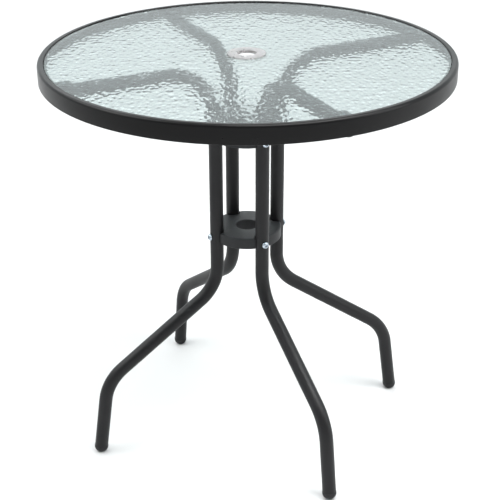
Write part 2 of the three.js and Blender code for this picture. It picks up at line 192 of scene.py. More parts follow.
class TubeSizes(bpy.types.PropertyGroup):
    """The four bent tubes, their caps and their plugs."""
    diameter: length("Tube diameter", "Outside diameter of the tubes", 24)
    wall: length("Tube wall", "Wall of the tubes", 1.2)
    column_circle: length("Column circle", "Radius of the circle that the columns stand on", 60)
    heading: angle("Column heading", "Heading of the first column from +X", 26)
    turns: FloatVectorProperty(
        name="Foot turns", description="Turn of each leg's lower half about its column",
        size=4, default=[math.radians(a) for a in (-10.5, 3.5, -1.5, 3.0)], subtype="EULER")
    arm_bend: length("Arm bend radius", "Radius of the bend from arm to column", 87)
    lower_bend_top: length("Lower bend top", "Height at which the column starts to bend out", 334)
    lower_bend: length("Lower bend radius", "Radius of the bend from column to slant", 78)
    lower_angle: angle("Lower bend angle", "Angle of the bend from column to slant", 55.6)
    slant: length("Slant length", "Straight run of the slanted leg", 187.5)
    foot_bend: length("Foot bend radius", "Radius of the bend from slant to foot", 83)
    foot_angle: angle("Foot bend angle", "Angle of the bend from slant to foot", 47.4)
    cap_overhang: length("Cap overhang", "How far the foot cap's collar stands proud of the tube", 0.5)
    cap_collar: length("Cap collar", "Height of the foot cap's collar", 2)
    cap_dome: length("Cap dome", "Height of the foot cap's dome", 11.5)
    cap_flat: length("Cap flat", "How far the floor cuts into the dome", 0.8)
    cap_fullness: FloatProperty(
        name="Cap fullness", description="1 for an elliptical dome, less for a squarer one",
        default=0.88, min=0.5, max=1)
    cap_stem: length("Cap stem", "Length of the foot cap's stem in the tube", 22)
    stem_clearance: length("Stem clearance", "Room round a stem in its tube", 0.5)


class HubSizes(bpy.types.PropertyGroup):
    """The two moulded hubs and the screws."""
    bore: length("Hub bore", "Hole that the pole passes through", 41)
    edge: length("Edge radius", "Rounding of the hub's top edge", 2.5)
    roof: length("Roof", "Wall over the hollow underneath", 4)
    skirt: length("Skirt", "Wall round the hub and round each notch", 3)
    sleeve: length("Sleeve", "Wall round the bore", 3.5)
    rib: length("Rib width", "Width of the ribs that take the screws", 13)
    screw_head: length("Screw head", "Diameter of a screw's head", 12)
    screw_height: length("Screw height", "Height of a screw's head", 4)
    screw_shank: length("Screw shank", "Diameter of a screw's shank", 6)
    screw_key: length("Screw key", "Width across the flats of a screw's recess", 6.2)
    screw_recess: length("Screw recess", "Depth of a screw's recess", 2.8)


class Colours(bpy.types.PropertyGroup):
    """Base colours of the finishes."""
    rim: colour("Rim coat", "Anthracite powder coat of the rim and its support", (0.0038, 0.0037, 0.004))
    tube: colour("Tube coat", "Anthracite powder coat of the tubes", (0.0085, 0.0082, 0.0091))
    hub: colour("Hub plastic", "Moulded plastic of the hubs", (0.0188, 0.0195, 0.0208))
    cap: colour("Cap plastic", "Plastic of foot caps and plugs", (0.0175, 0.0172, 0.0182))
    zinc: colour("Zinc", "Zinc plating of screws and bolts", (0.52, 0.58, 0.64))
    glass: colour("Glass", "Tint of the glass", (0.512, 0.579, 0.574))
    strip: colour("Seat strip", "Soft strip under the glass", (0.09, 0.095, 0.095))
    ring: colour("Pole ring", "Plastic of the ring in the glass", (0.6, 0.577, 0.581))
    floor: colour("Floor", "Studio floor", (0.66, 0.66, 0.66))


# Meshes

def shown(name, mesh, material, body, node):
    """Makes the finished piece from a mesh: smooth but for its sharp edges, in place of its node."""
    mesh.polygons.foreach_set("use_smooth", np.ones(len(mesh.polygons), bool))
    mesh.set_sharp_from_angle(angle=SHARP_ANGLE)
    mesh.materials.append(material)
    piece = bpy.data.objects.new(name, mesh)
    bpy.context.scene.collection.objects.link(piece)
    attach(piece, body)
    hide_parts(node)


def shown_turned(name, points, sides, material, body, node):
    """Makes the finished piece from a profile turned about Z."""
    shown(name, grid_mesh(name, turned(points, sides)), material, body, node)


def grid_mesh(name, points, wrap_u=True, wrap_v=True):
    """A mesh of quads over the grid points[u, v], joined round in u and in v where asked.

    Point (u, v) is joined to (u+1, v), (u+1, v+1) and (u, v+1). The face points along the cross product of
    the steps in u and in v. Points that fall together, as at a pole, are merged.
    """
    rows, columns = points.shape[:2]
    index = np.arange(rows * columns).reshape(rows, columns)
    if wrap_u:
        index = np.concatenate([index, index[:1]], 0)
    if wrap_v:
        index = np.concatenate([index, index[:, :1]], 1)
    quads = np.stack([index[:-1, :-1], index[1:, :-1], index[1:, 1:], index[:-1, 1:]], -1).reshape(-1, 4)
    mesh = bpy.data.meshes.new(name)
    mesh.vertices.add(rows * columns)
    mesh.vertices.foreach_set("co", points.astype(np.float32).ravel())
    mesh.loops.add(quads.size)
    mesh.loops.foreach_set("vertex_index", quads.astype(np.int32).ravel())
    mesh.polygons.add(len(quads))
    mesh.polygons.foreach_set("loop_start", np.arange(0, quads.size, 4, dtype=np.int32))
    mesh.update(calc_edges=True)
    weld(mesh)
    return mesh


def weld(mesh):
    """Merges points that fall together, which closes poles, and drops the faces that this empties."""
    work = bmesh.new()
    work.from_mesh(mesh)
    bmesh.ops.remove_doubles(work, verts=work.verts, dist=WELD)
    bmesh.ops.dissolve_degenerate(work, edges=work.edges, dist=WELD / 2)
    work.to_mesh(mesh)
    work.free()


def joined(name, meshes):
    """One mesh from several."""
    work = bmesh.new()
    for mesh in meshes:
        work.from_mesh(mesh)
    whole = bpy.data.meshes.new(name)
    work.to_mesh(whole)
    work.free()
    for mesh in meshes:
        bpy.data.meshes.remove(mesh)
    return whole


def arc(centre, radius, start, end, count):
    """Points of a circle about centre = (r, z), from one angle to another in degrees, ends included."""
    at = np.radians(np.linspace(start, end, count))
    return np.stack([centre[0] + radius * np.cos(at), centre[1] + radius * np.sin(at)], -1)


def profile(*parts):
    """One row of points from single points and rows of points."""
    return np.concatenate([np.atleast_2d(np.asarray(part, float)) for part in parts])


def turned(points, sides):
    """A profile turned about Z: x = r cos u, y = r sin u, z = z.

    The profile runs up the outside and down the inside, so that the faces look out of the solid.
    """
    u = np.linspace(0, TURN, sides, endpoint=False)[:, None]
    r, z = points[None, :, 0], points[None, :, 1]
    return np.stack([r * np.cos(u), r * np.sin(u), np.broadcast_to(z, (sides, z.shape[1]))], -1)


def moved(points, matrix):
    """A grid of points after a 4 by 4 matrix."""
    m = np.array(matrix)
    return points @ m[:3, :3].T + m[:3, 3]


def heading_of(tube, index):
    """The heading of a leg's column and arm from +X."""
    return tube.heading + QUARTER * index


def level(way):
    """The level direction of a heading."""
    return math.cos(way), math.sin(way), 0


def about_z(turn):
    return Matrix.Rotation(turn, 4, "Z")


def lying(way, reach, height):
    """The place of a piece whose Z points outwards along a heading, at a reach from the axis."""
    return about_z(way) @ Matrix.Translation((reach, 0, height)) @ Matrix.Rotation(QUARTER, 4, "Y")


# Materials

def new_material(name, base, roughness, **sockets):
    """A Principled surface with its fixed values on its own sockets. Returns the material and its shader."""
    material = bpy.data.materials.new(name)
    material.use_nodes = True
    shader = material.node_tree.nodes["Principled BSDF"]
    shader.inputs["Base Color"].default_value = (*base, 1)
    shader.inputs["Roughness"].default_value = roughness
    for socket, value in sockets.items():
        shader.inputs[socket.replace("_", " ")].default_value = value
    return material, shader


def coordinates(tree, kind="Object"):
    """The coordinates of one kind."""
    return tree.nodes.new("ShaderNodeTexCoord").outputs[kind]


def math_node(tree, operation, first, second):
    """A calculation with a linked first number and a second one that is fixed."""
    node = tree.nodes.new("ShaderNodeMath")
    node.operation = operation
    node.inputs[1].default_value = second
    tree.links.new(first, node.inputs[0])
    return node


def height_of(tree, vector):
    """The Z of a vector."""
    split = tree.nodes.new("ShaderNodeSeparateXYZ")
    tree.links.new(vector, split.inputs["Vector"])
    return split.outputs["Z"]


def ramp(tree, factor, start, end, low, high):
    """A number that runs from low to high while a factor goes from start to end."""
    node = tree.nodes.new("ShaderNodeMapRange")
    node.inputs["From Min"].default_value = start
    node.inputs["From Max"].default_value = end
    node.inputs["To Min"].default_value = low
    node.inputs["To Max"].default_value = high
    tree.links.new(factor, node.inputs["Value"])
    return node.outputs["Result"]


def noise(material, pitch, detail):
    """Noise on the object's own coordinates, one bump to each pitch."""
    tree = material.node_tree
    texture = tree.nodes.new("ShaderNodeTexNoise")
    texture.inputs["Scale"].default_value = 1 / pitch
    texture.inputs["Detail"].default_value = detail
    tree.links.new(coordinates(tree), texture.inputs["Vector"])
    return texture.outputs["Fac"]


def scales(material, size, ceiling):
    """Rounded cells of the given size along X, Y and Z: 0 in a cell to 1 between two, below a height."""
    tree = material.node_tree
    place = coordinates(tree)
    scale = tree.nodes.new("ShaderNodeMapping")
    scale.inputs["Scale"].default_value = [1 / s for s in size]
    texture = tree.nodes.new("ShaderNodeTexVoronoi")
    texture.feature = "SMOOTH_F1"
    texture.inputs["Scale"].default_value = 1
    texture.inputs["Smoothness"].default_value = 0.4
    texture.inputs["Randomness"].default_value = 0.9
    below = math_node(tree, "LESS_THAN", height_of(tree, place), ceiling)
    masked = math_node(tree, "MULTIPLY", texture.outputs["Distance"], 1)
    tree.links.new(place, scale.inputs["Vector"])
    tree.links.new(scale.outputs["Vector"], texture.inputs["Vector"])
    tree.links.new(below.outputs["Value"], masked.inputs[1])
    return masked.outputs["Value"]


def upward(material, factor, share):
    """A factor in which the given share is how far the face looks up: 1 on a level top, 0 on a side. It
    drives the painted light on tops.
    """
    tree = material.node_tree
    top = math_node(tree, "MULTIPLY", height_of(tree, coordinates(tree, "Normal")), share)
    top.use_clamp = True
    added = math_node(tree, "MULTIPLY_ADD", factor, 1 - share)
    tree.links.new(top.outputs["Value"], added.inputs[2])
    return added.outputs["Value"]


def add_bump(material, shader, factor, depth, strength):
    """Relief of the given depth from a factor."""
    tree = material.node_tree
    bump = tree.nodes.new("ShaderNodeBump")
    bump.inputs["Strength"].default_value = strength
    bump.inputs["Distance"].default_value = depth
    tree.links.new(factor, bump.inputs["Height"])
    tree.links.new(bump.outputs["Normal"], shader.inputs["Normal"])


def vary_roughness(material, shader, factor, low, high):
    """Lets the roughness run from low to high over the range that noise mostly keeps to."""
    tree = material.node_tree
    roughness = ramp(tree, factor, start=0.3, end=0.7, low=low, high=high)
    tree.links.new(roughness, shader.inputs["Roughness"])


def tint(material, shader, factor, base, low, high):
    """Lets the base colour run between two shades of itself with a factor."""
    tree = material.node_tree
    mix = tree.nodes.new("ShaderNodeMix")
    mix.data_type = "RGBA"
    mix.inputs["A"].default_value = (*(c * low for c in base), 1)
    mix.inputs["B"].default_value = (*(min(c * high, 1) for c in base), 1)
    tree.links.new(factor, mix.inputs["Factor"])
    tree.links.new(mix.outputs["Result"], shader.inputs["Base Color"])


def powder_coat(name, base, gloss, roughness, grain):
    """Anthracite powder coat: a satin film with fine grain and a slow drift in gloss."""
    material, shader = new_material(name, base, roughness, Specular_IOR_Level=gloss)
    add_bump(material, shader, noise(material, pitch=grain, detail=3.0), depth=0.05 * MM, strength=0.6)
    drift = noise(material, pitch=60 * MM, detail=2.0)
    vary_roughness(material, shader, drift, low=roughness - 0.05, high=roughness + 0.05)
    tint(material, shader, noise(material, pitch=7 * MM, detail=4.0), base, low=0.88, high=1.14)
    return material


def moulded(name, base, roughness, pitch, depth, painted_top_light):
    """Moulded plastic: matt, with the fine grain of its mould and a slow random mottle, and a painted
    highlight: faces that look up are drawn paler, standing in for the light from above.
    """
    material, shader = new_material(name, base, roughness, Specular_IOR_Level=0.25)
    grain = noise(material, pitch=pitch, detail=4.0)
    add_bump(material, shader, grain, depth, strength=0.7)
    vary_roughness(material, shader, grain, low=roughness - 0.06, high=roughness + 0.06)
    # Painted highlight: the colour is paler on faces that look up, mixed with a slow random mottle
    mottle_and_top_light = upward(material, noise(material, pitch=12 * MM, detail=3.0), share=0.75)
    tint(material, shader, mottle_and_top_light, base, low=0.9, high=painted_top_light)
    return material


def zinc_plate(name, base):
    """Bright zinc: metal with a faint bluish haze and fine turning marks."""
    material, shader = new_material(name, base, roughness=0.28, Metallic=1.0)
    haze = noise(material, pitch=1.6 * MM, detail=4.0)
    vary_roughness(material, shader, haze, low=0.2, high=0.42)
    tint(material, shader, haze, base, low=0.82, high=1.1)
    add_bump(material, shader, noise(material, pitch=0.35 * MM, detail=2.0), depth=0.02 * MM, strength=0.5)
    return material


def rippled_glass(name, base):
    """Pale green tempered glass. Its ripples are in its mesh, and a bump of small scales sharpens them."""
    material, shader = new_material(
        name, base, roughness=0.03, Transmission_Weight=1.0, IOR=1.5, Specular_IOR_Level=0.5)
    middle = sum(height_range("glass_top")) / 2
    cells = scales(material, size=(7 * MM, 12 * MM, 40 * MM), ceiling=middle)
    add_bump(material, shader, cells, depth=0.5 * MM, strength=0.84)
    return material


def clear_plastic(name, base, roughness, transmission):
    """Translucent plastic that lets part of the light through."""
    material, shader = new_material(name, base, roughness, Transmission_Weight=transmission, IOR=1.46)
    add_bump(material, shader, noise(material, pitch=2.5 * MM, detail=2.0), depth=0.04 * MM, strength=0.4)
    drift = noise(material, pitch=9 * MM, detail=2.0)
    vary_roughness(material, shader, drift, low=roughness - 0.05, high=roughness + 0.08)
    return material


# Shapes of the pieces. The last number of each arc is its count of points.

def rim_profile(rim):
    """The folded strip: up the outside, over the lip, down to the support ring and back inside.

    The lip is a quarter circle as wide as it is high, a short flat crown and a tight quarter circle by
    the glass.
    """
    low, top = height_range("rim")
    outer = outer_radius("rim")
    lip, bend = rim.lip_width / 2, rim.inner_bend + rim.sheet
    centre = (outer - lip, top - lip)
    turn = (outer - rim.lip_width + bend, top - bend)
    foot = height_range("support_ring")[1] + SEAT_GAP
    round_over = rim.sheet / 2
    inner = outer - rim.lip_width
    hem = outer - rim.hem_width
    return profile(
        arc((hem + round_over, low + round_over), round_over, 180, 270, 6),
        arc((outer - round_over * 2, low + round_over * 2), round_over * 2, 270, 360, 8),
        (outer, low + SKIRT_ROW),
        arc(centre, lip, 0, 90, 18),
        arc(turn, bend, 90, 180, 9),
        (inner, foot),
        (inner + rim.sheet, foot),
        arc(turn, rim.inner_bend, 180, 90, 6),
        arc(centre, lip - rim.sheet, 90, 0, 12),
        (outer - rim.sheet, low + rim.sheet + round_over),
        arc((outer - rim.sheet - round_over, low + rim.sheet + round_over), round_over, 360, 270, 5),
        (hem + round_over, low + rim.sheet),
    )


def flat_ring_profile(node, edge):
    """A flat ring in place of its node, with small rounded edges."""
    inner, outer = inner_radius(node), outer_radius(node)
    low, high = height_range(node)
    return profile(
        arc((inner + edge, low + edge), edge, 180, 270, 4),
        arc((outer - edge, low + edge), edge, 270, 360, 4),
        arc((outer - edge, high - edge), edge, 0, 90, 4),
        arc((inner + edge, high - edge), edge, 90, 180, 4),
    )


def dimples(x, y, across, along):
    """Height of the dimpled face of the glass, from 0 in a dimple to about 1 on a ridge.

    The plane is cut into rows of cells, every other row set half a cell over, and each cell has one centre
    moved at random. The height is the smooth least of the squared distances, counted in cells, to the
    centres of the nine cells about a point.
    """
    random = np.random.default_rng(DIMPLE_SEED)
    moves = random.uniform(-DIMPLE_MOVE, DIMPLE_MOVE, (DIMPLE_CELLS, DIMPLE_CELLS, 2))
    u = x / across + DIMPLE_SWAY * np.sin(y / along * SWAY_ACROSS)
    v = y / along + DIMPLE_SWAY * np.sin(x / across * SWAY_ALONG)
    row = np.floor(v).astype(int)
    near = np.zeros_like(u)
    for j in (-1, 0, 1):
        aside = 0.5 * ((row + j) % 2)
        column = np.floor(u - aside).astype(int)
        for i in (-1, 0, 1):
            move = moves[(column + i) % DIMPLE_CELLS, (row + j) % DIMPLE_CELLS]
            du = column + i + 0.5 + aside + move[..., 0] - u
            dv = row + j + 0.5 + move[..., 1] - v
            near += np.exp(-RIDGE_SHARPNESS * (du ** 2 + dv ** 2))
    return np.clip(-np.log(near) / RIDGE_SHARPNESS, 0, None) / RIDGE_HEIGHT


def glass_points(glass):
    """The glass as one closed grid: flat on top, chamfered, and dimpled underneath up to the ground edges.

    It is a profile turned about Z, with the ripple's height times the height of the dimples added to the
    underside, less and less towards both edges.
    """
    low, top = height_range("glass_top")
    outer, hole, bevel = outer_radius("glass_top"), inner_radius("glass_top"), glass.chamfer
    under = np.linspace(hole + bevel, outer - bevel, DIMPLE_RINGS)
    above = np.array([outer - bevel, *(share * outer for share in FLAT_RINGS), hole + bevel])
    points = profile(
        np.stack([under, np.full_like(under, low)], -1),
        (outer, low + bevel), (outer, top - bevel),
        np.stack([above, np.full_like(above, top)], -1),
        (hole, top - bevel), (hole, low + bevel),
    )
    grid = turned(points, GLASS_SIDES)
    x, y, z = np.moveaxis(grid[:, :len(under)], -1, 0)
    fade = np.clip(np.minimum(under - under[0], under[-1] - under) / DIMPLE_FADE, 0, 1)
    z += glass.ripple_height * fade * dimples(x, y, glass.ripple_pitch, glass.ripple_length)
    return grid


def ring_profile(glass):
    """The pole's ring: a flange with a rounded edge, a short sleeve and a collar round the bore."""
    low, top = height_range("umbrella_ring")
    flange, bore = outer_radius("umbrella_ring"), inner_radius("umbrella_ring")
    sleeve = inner_radius("glass_top") - glass.ring_clearance
    seat, wall = top - glass.ring_flange, glass.ring_wall
    edge = glass.ring_flange / 2
    middle = (flange + bore) / 2
    shoulder = top - RING_DISH / 3
    return profile(
        (bore, low), (bore + wall, low), (bore + wall, seat), (sleeve - wall, seat), (sleeve - wall, low),
        (sleeve - edge / 2, low), (sleeve, low + edge / 2), (sleeve, seat), (flange - edge / 4, seat),
        arc((flange - edge, seat + edge), edge, -40, 90, 9),
        (middle + RING_DISH_REACH, shoulder), (middle, top - RING_DISH),
        (middle - RING_DISH_REACH, shoulder),
        arc((bore + edge, top - edge), edge, 90, 180, 8),
    )


def bend_points(centre, radius, tilts):
    """Points of a tube's bend as rows of reach, height and tilt. A radius below zero bends it back."""
    return np.stack([centre[0] - radius * np.cos(tilts), centre[1] - radius * np.sin(tilts), tilts], -1)


def tube_path(tube, index):
    """Centre line of one tube from the arm's end by the rim to the foot: points, tangents and sideways.

    Three arcs joined by straight runs. The tilt is the tangent's angle from straight down towards outwards:
    -90 degrees along the arm, 0 down the column, the lower bend's angle down the slant, then less again by
    the foot bend's angle. An arc of radius R from tilt a runs by R(cos a - cos t) outwards and by
    R(sin t - sin a) downwards. The lower half is turned about the column by the leg's own turn. Sideways
    is the level direction square to the plane that the tube bends in.
    """
    low, high = height_range(f"arm_plug_{LEGS[index]}")
    axis = (low + high) / 2
    out = heading_of(tube, index)
    end = span(f"leg_tube_{LEGS[index]}", level(out))[1]
    steepest = tube.lower_angle
    arm = bend_points(
        (tube.arm_bend, axis - tube.arm_bend), tube.arm_bend, np.linspace(-QUARTER, 0, ARM_POINTS))
    lower = bend_points(
        (tube.lower_bend, tube.lower_bend_top), tube.lower_bend, np.linspace(0, steepest, LOWER_POINTS))
    slant_foot = lower[-1, :2] + tube.slant * np.array([math.sin(steepest), -math.cos(steepest)])
    centre = slant_foot - tube.foot_bend * np.array([math.cos(steepest), math.sin(steepest)])
    foot = bend_points(
        centre, -tube.foot_bend, np.linspace(steepest, steepest - tube.foot_angle, FOOT_POINTS))
    foot_reach, foot_height, splay = foot[-1]
    sole = tube.cap_collar + tube.cap_dome - tube.cap_flat
    run = foot_height / math.cos(splay) - sole - SEAT_GAP
    last = (foot_reach + run * math.sin(splay), foot_height - run * math.cos(splay), splay)
    arm = profile((end - tube.column_circle, axis, -QUARTER), arm)
    leg = profile(lower, foot, last)
    reach, height, tilt = np.concatenate([arm, leg]).T
    way = np.concatenate([np.full(len(arm), out), np.full(len(leg), out + tube.turns[index])])
    way[tilt == 0] = out
    x, y = tube.column_circle * math.cos(out), tube.column_circle * math.sin(out)
    points = np.stack([x + reach * np.cos(way), y + reach * np.sin(way), height], -1)
    tangents = np.stack([np.sin(tilt) * np.cos(way), np.sin(tilt) * np.sin(way), -np.cos(tilt)], -1)
    sideways = np.stack([-np.sin(way), np.cos(way), np.zeros_like(way)], -1)
    return points, tangents, sideways


def tube_points(tube, index):
    """The hollow tube as one closed grid: out along its outside, over the end and back along its bore.

    At each station the ring is C + R (cos v N + sin v B). B is the sideways direction, and N is B cross the
    tangent, which lies in the plane of the bend.
    """
    points, tangents, sideways = tube_path(tube, index)
    v = np.linspace(0, TURN, ROUND_SIDES, endpoint=False)[:, None, None]
    circle = np.cos(v) * np.cross(sideways, tangents) + np.sin(v) * sideways
    radius = tube.diameter / 2
    bore = radius - tube.wall
    return np.concatenate([points + radius * circle, (points + bore * circle)[:, ::-1]], 1)


def cap_profile(tube):
    """The foot cap: a full, rounded dome, a collar proud of the tube, and a tapered stem in the tube.

    The dome's section is a quarter of a superellipse: radius times cos to a power, height times sin to
    that power.
    """
    radius = tube.diameter / 2 + tube.cap_overhang
    stem = tube.diameter / 2 - tube.wall - tube.stem_clearance
    seat = -SEAT_GAP
    collar = seat - tube.cap_collar
    bend = np.radians(np.linspace(-90, 0, CAP_DOME_POINTS))
    full = tube.cap_fullness
    dome = np.stack([
        radius * np.cos(bend) ** full, collar - tube.cap_dome * np.abs(np.sin(bend)) ** full], -1)
    dome[0, 0] = 0
    return profile(
        dome, arc((radius - COLLAR_EDGE, seat - COLLAR_EDGE), COLLAR_EDGE, 0, 90, 5), (stem, seat),
        (stem, tube.cap_stem - CAP_TAPER_LENGTH), (stem - CAP_TAPER, tube.cap_stem), (0, tube.cap_stem),
    )


def plug_profile(tube, depth, flange, thickness):
    """An arm's plug: a flat round cover with a rounded edge over a tapered stem."""
    stem = tube.diameter / 2 - tube.wall - tube.stem_clearance
    edge = thickness / 2
    return profile(
        (0, -depth), (stem - PLUG_TAPER, -depth), (stem, -depth + PLUG_TAPER_LENGTH), (stem, 0),
        (flange, 0), arc((flange - edge, thickness - edge), edge, 0, 90, 6), (0, thickness),
    )


def hub_outline(tube, inset):
    """The hub's outline drawn in by inset, as (x, y) points: the drum's four arcs and four notches between.

    The drum's arc has radius R - inset about the hub's centre, and a notch's has the tube's radius and the
    seat's gap plus inset about its column. They meet where the two circles cross.
    """
    drum = outer_radius("lower_hub") - inset
    notch = tube.diameter / 2 + SEAT_GAP + inset
    ring = tube.column_circle
    half = math.acos((drum ** 2 + ring ** 2 - notch ** 2) / (2 * drum * ring))
    x, y = drum * math.cos(half) - ring, drum * math.sin(half)
    opening = math.atan2(y, x)
    parts = []
    for index in range(len(LEGS)):
        way = heading_of(tube, index)
        v = np.linspace(TURN - opening, opening, NOTCH_POINTS) + way
        parts.append(np.stack([
            ring * math.cos(way) + notch * np.cos(v), ring * math.sin(way) + notch * np.sin(v)], -1))
        u = np.linspace(way + half, way + QUARTER - half, DRUM_POINTS)[1:-1]
        parts.append(np.stack([drum * np.cos(u), drum * np.sin(u)], -1))
    return np.concatenate(parts)


def hub_points(tube, hub, top, low):
    """The hub as one closed grid, in which each row is an outline at its own inset and height.

    The rows go under the skirt, up the side, over the rounded edge, across the top, down the bore, and
    round the hollow underneath.
    """
    way = np.arctan2(*hub_outline(tube, 0).T[::-1])

    def outline(inset, z):
        xy = hub_outline(tube, inset)
        return np.concatenate([xy, np.full((len(xy), 1), z)], 1)

    def circle(radius, z):
        return np.stack([radius * np.cos(way), radius * np.sin(way), np.full_like(way, z)], -1)

    bore, edge = hub.bore / 2, hub.edge
    bends = np.radians(np.linspace(0, 90, HUB_EDGE_POINTS))
    roof = top - hub.roof
    rows = [outline(hub.skirt, low), outline(HUB_FOOT_EDGE, low), outline(0, low + HUB_FOOT_EDGE)]
    rows += [outline(edge * (1 - math.cos(a)), top - edge + edge * math.sin(a)) for a in bends]
    rows += [circle(bore + edge / 2 * (1 - math.sin(a)), top - edge / 2 * (1 - math.cos(a))) for a in bends]
    rows += [circle(bore, low), circle(bore + hub.sleeve, low), circle(bore + hub.sleeve, roof)]
    rows += [outline(hub.skirt, roof)]
    return np.stack(rows, 1)


def rib_points(tube, hub, index, top, low):
    """A rib under the hub, from the sleeve to a notch's wall, as a closed bar."""
    start = hub.bore / 2 + hub.sleeve / 2
    end = tube.column_circle - tube.diameter / 2 - SEAT_GAP - hub.skirt / 2
    half, foot = hub.rib / 2, low + RIB_EDGE
    section = np.array([
        (-half, top), (-half, foot), (-half + RIB_EDGE, low),
        (half - RIB_EDGE, low), (half, foot), (half, top)])
    ends = [np.column_stack([np.full(len(section), x), section]) for x in (start, end)]
    middles = [e.mean(0, keepdims=True).repeat(len(section), 0) for e in ends]
    grid = np.stack([middles[0], ends[0], ends[1], middles[1]], 1)
    return moved(grid, about_z(heading_of(tube, index)))


def screw_points(hub, shank):
    """A button-headed screw along +Z with a six-sided recess. The head's seat is at zero.

    It is a profile turned about Z, but the recess's radius follows a hexagon: half the key's width over the
    cosine of the angle from the nearest flat's middle.
    """
    head, crown = hub.screw_head / 2, hub.screw_height
    radius, tip = hub.screw_shank / 2, hub.screw_shank / 6
    bend = np.radians(np.linspace(0, HEAD_REACH, HEAD_DOME_POINTS))
    rise = crown * HEAD_DOME
    dome = np.stack([
        head * np.cos(bend) ** HEAD_FULLNESS, crown - rise + rise * np.sin(bend) / math.sin(bend[-1])], -1)
    outside = profile(
        (0, -shank), (radius - tip, -shank), (radius, tip - shank), (radius, 0), (head - HEAD_EDGE, 0),
        (head, HEAD_EDGE), dome)
    u = np.linspace(0, TURN, ROUND_SIDES, endpoint=False)
    hexagon = hub.screw_key / 2 / np.cos((u % (TURN / 6)) - TURN / 12)
    x, y = hexagon * np.cos(u), hexagon * np.sin(u)
    rows = (
        (MOUTH_WIDTH, 0.0), (1.0, MOUTH_DEPTH),
        (1.0, hub.screw_recess), (0.0, hub.screw_recess + RECESS_POINT))
    recess = np.stack([
        np.stack([width * x, width * y, np.full_like(u, crown - depth)], -1) for width, depth in rows], 1)
    return np.concatenate([turned(outside, ROUND_SIDES), recess], 1)


# Operators

class Builder:
    """What the operators share."""
    bl_options = {"REGISTER", "UNDO"}

    @property
    def settings(self):
        return bpy.context.scene.umbrella_table


def finishes(settings):
    """The materials by name, made the first time that an operator asks for them."""
    base, grain = settings.colours, settings.rim.texture
    makers = {
        "rim_powder": (powder_coat, base.rim, dict(gloss=0.17, roughness=0.32, grain=grain)),
        "tube_powder": (powder_coat, base.tube, dict(gloss=0.28, roughness=0.46, grain=grain)),
        # In the mouldings the last value is a painted highlight: how much paler the faces that look up are
        # drawn
        "hub_moulding": (
            moulded, base.hub, dict(roughness=0.5, pitch=0.8 * MM, depth=0.05 * MM, painted_top_light=1.75)),
        "cap_moulding": (
            moulded, base.cap, dict(roughness=0.52, pitch=1.1 * MM, depth=0.09 * MM, painted_top_light=1.12)),
        "zinc_skin": (zinc_plate, base.zinc, dict()),
        "sea_glass": (rippled_glass, base.glass, dict()),
        "soft_strip": (clear_plastic, base.strip, dict(roughness=0.45, transmission=0.2)),
        "clear_ring": (clear_plastic, base.ring, dict(roughness=0.3, transmission=0.92)),
    }
    return {
        name: bpy.data.materials.get(name) or make(name, shade, **looks)
        for name, (make, shade, looks) in makers.items()}


